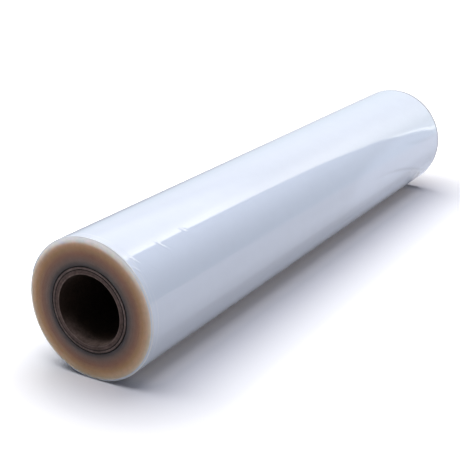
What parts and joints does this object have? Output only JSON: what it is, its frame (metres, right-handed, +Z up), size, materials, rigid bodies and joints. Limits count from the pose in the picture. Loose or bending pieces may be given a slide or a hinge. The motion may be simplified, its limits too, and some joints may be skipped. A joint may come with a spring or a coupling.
{
  "type": "roll of cellophane",
  "caption": "Wide roll of clear glossy cellophane film, wound on a paperboard tube with an open bore and lying on its side, for wrapping and packing",
  "frame": {"origin": "on the floor, under the middle of the web, below the axis of the roll", "axes": "+X along the axis of the roll, +Y to the side with the tail of the film, +Z up"},
  "size_m": [0.8017, 0.1554, 0.1551],
  "materials": {
    "core_board": "matte grey-brown paperboard with worn, lighter rims",
    "clear_film": "high gloss, pale blue-grey on the outside and amber to grey-brown on the wound ends"
  },
  "bodies": {
    "root": {"core": "core_board", "film": "clear_film"}
  },
  "joints": []
}
